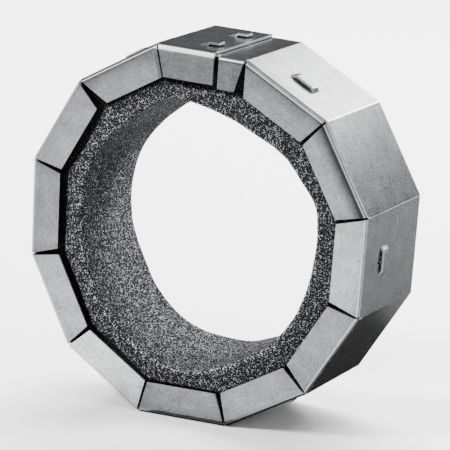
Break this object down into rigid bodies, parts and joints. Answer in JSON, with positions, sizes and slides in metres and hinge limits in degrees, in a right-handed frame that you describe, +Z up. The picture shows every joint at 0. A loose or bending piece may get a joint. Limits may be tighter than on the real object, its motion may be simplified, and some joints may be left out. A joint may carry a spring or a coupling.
{
  "type": "pipe fire collar",
  "caption": "Folded sheet steel collar with front flaps and a hooked closure, lined with an intumescent ring that closes a plastic pipe in a fire.",
  "frame": {"origin": "on the pipe's axis, in the plane of the back that lies on the wall", "axes": "+Z up, the pipe along Y, the flaps face -Y and the wall is at +Y; the collar stands on the level panel below"},
  "size_m": [0.1597, 0.05, 0.1591],
  "materials": {
    "steel": "satin rolled sheet",
    "intumescent": "matt grainy foam"
  },
  "bodies": {
    "root": {"housing": "steel", "intumescent_liner": "intumescent"}
  },
  "joints": []
}
